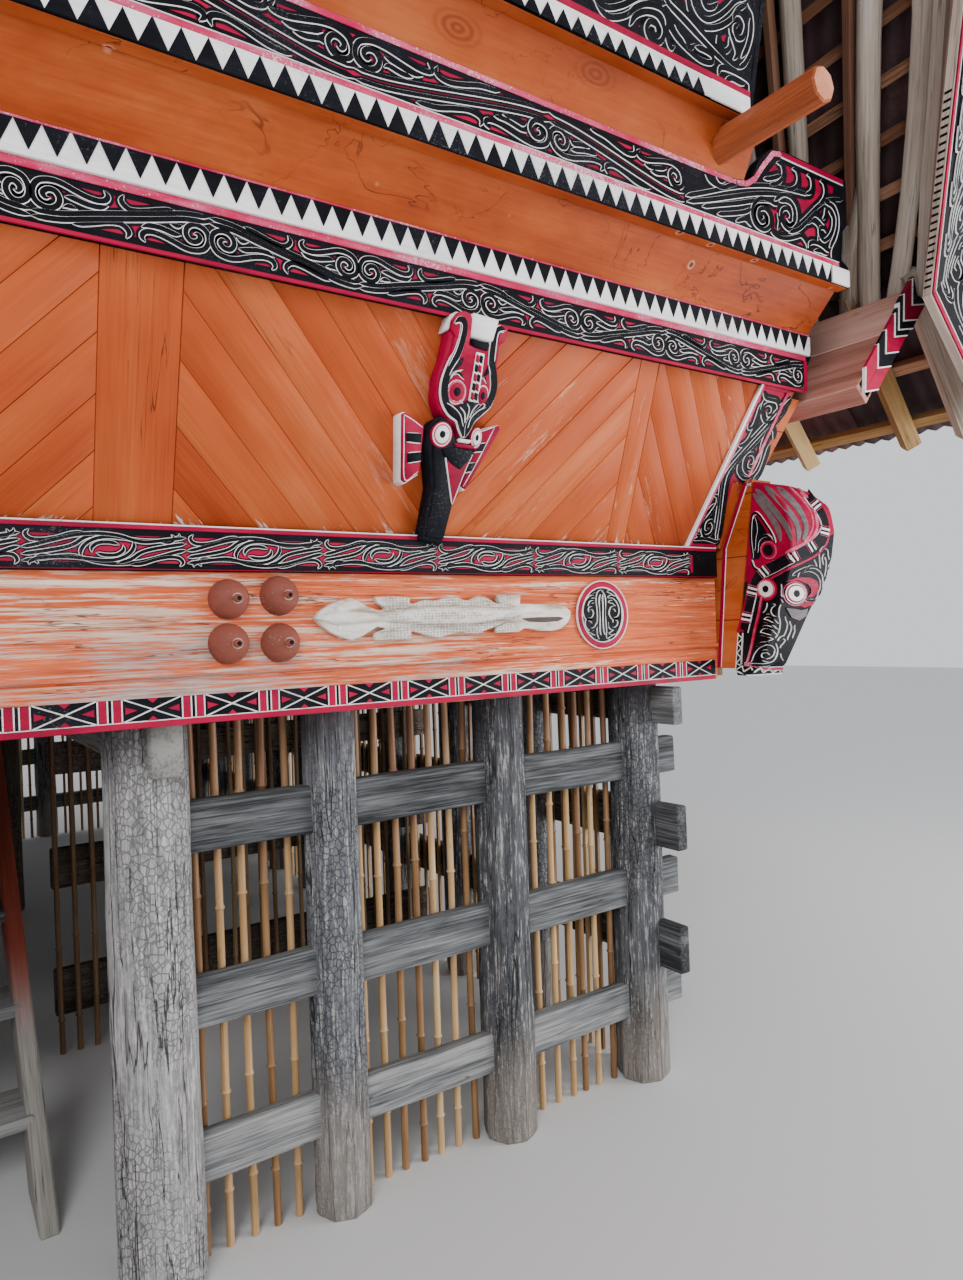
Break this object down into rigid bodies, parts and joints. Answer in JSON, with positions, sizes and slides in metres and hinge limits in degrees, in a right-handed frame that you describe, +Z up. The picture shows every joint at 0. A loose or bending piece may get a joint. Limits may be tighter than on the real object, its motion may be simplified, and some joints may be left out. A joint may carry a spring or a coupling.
{
  "type": "batak house",
  "caption": "Timber saddle-roof house on posts with a leaning carved front, open stalls below, a stair through the floor and a rusted sheet roof.",
  "frame": {"origin": "on the ground, under the middle of the whole house", "axes": "+Z up, the carved front faces -Y, +X is to the right when facing the front"},
  "size_m": [7.9, 13.06, 8.535],
  "materials": {
    "grey_post_wood": "weathered grey log, cracked, matt",
    "dark_post_wood": "smoke-dark log, worn, matt",
    "fence_wood": "grey planks and dry bamboo, matt",
    "floor_wood": "bare worn planks, matt",
    "orange_wood": "orange-brown varnished planks, worn, satin",
    "brown_wood": "brown varnished planks, satin",
    "painted_carving": "shallow carving painted black, white and red, matt",
    "crimson_carved_wood": "carved wood painted crimson, black and white, satin",
    "pole_wood": "round and sawn roof poles, bare, matt",
    "rusted_roof_sheet": "corrugated sheet, rusted, matt"
  },
  "bodies": {
    "root": {"front_post_1_right": "grey_post_wood", "front_post_1_left": "grey_post_wood", "front_post_2_right": "dark_post_wood", "front_post_2_left": "dark_post_wood", "front_post_3_right": "dark_post_wood", "front_post_3_left": "dark_post_wood", "front_post_4_right": "dark_post_wood", "front_post_4_left": "dark_post_wood", "front_stall_fence_right": "fence_wood", "front_stall_fence_left": "fence_wood", "side_post_frame_right": "dark_post_wood", "side_post_frame_left": "dark_post_wood", "rear_post_frame": "dark_post_wood", "inner_post_row_1_right": "dark_post_wood", "inner_post_row_1_left": "dark_post_wood", "inner_post_row_2": "dark_post_wood", "hatch_trimmer_right": "fence_wood", "hatch_trimmer_left": "fence_wood", "floor_side_right": "floor_wood", "floor_side_left": "floor_wood", "floor_front": "floor_wood", "floor_rear": "floor_wood", "front_beam": "orange_wood", "rear_beam": "orange_wood", "side_beam_right": "orange_wood", "side_beam_left": "orange_wood", "beam_head_right": "crimson_carved_wood", "beam_head_left": "crimson_carved_wood", "front_low_band": "painted_carving", "front_wall": "orange_wood", "front_upper_band": "painted_carving", "front_lower_step_board": "orange_wood", "front_flared_band": "painted_carving", "front_upper_step_board": "orange_wood", "front_gable_panel": "painted_carving", "front_gable_peak": "orange_wood", "rear_wall": "orange_wood", "rear_upper_band": "orange_wood", "rear_flared_band": "orange_wood", "rear_gable": "orange_wood", "purlin_right": "orange_wood", "purlin_left": "orange_wood", "side_wall_right": "orange_wood", "side_wall_left": "orange_wood", "wall_plate_right": "brown_wood", "wall_plate_left": "brown_wood", "wall_mask_right": "crimson_carved_wood", "wall_mask_left": "crimson_carved_wood", "roof_cover_right": "rusted_roof_sheet", "roof_cover_left": "rusted_roof_sheet", "ridge_beam": "pole_wood", "rafter_frame_right": "pole_wood", "rafter_frame_left": "pole_wood", "front_verge_board_right": "painted_carving", "front_verge_board_left": "painted_carving", "rear_verge_board_right": "orange_wood", "rear_verge_board_left": "orange_wood", "stair": "floor_wood"}
  },
  "joints": []
}
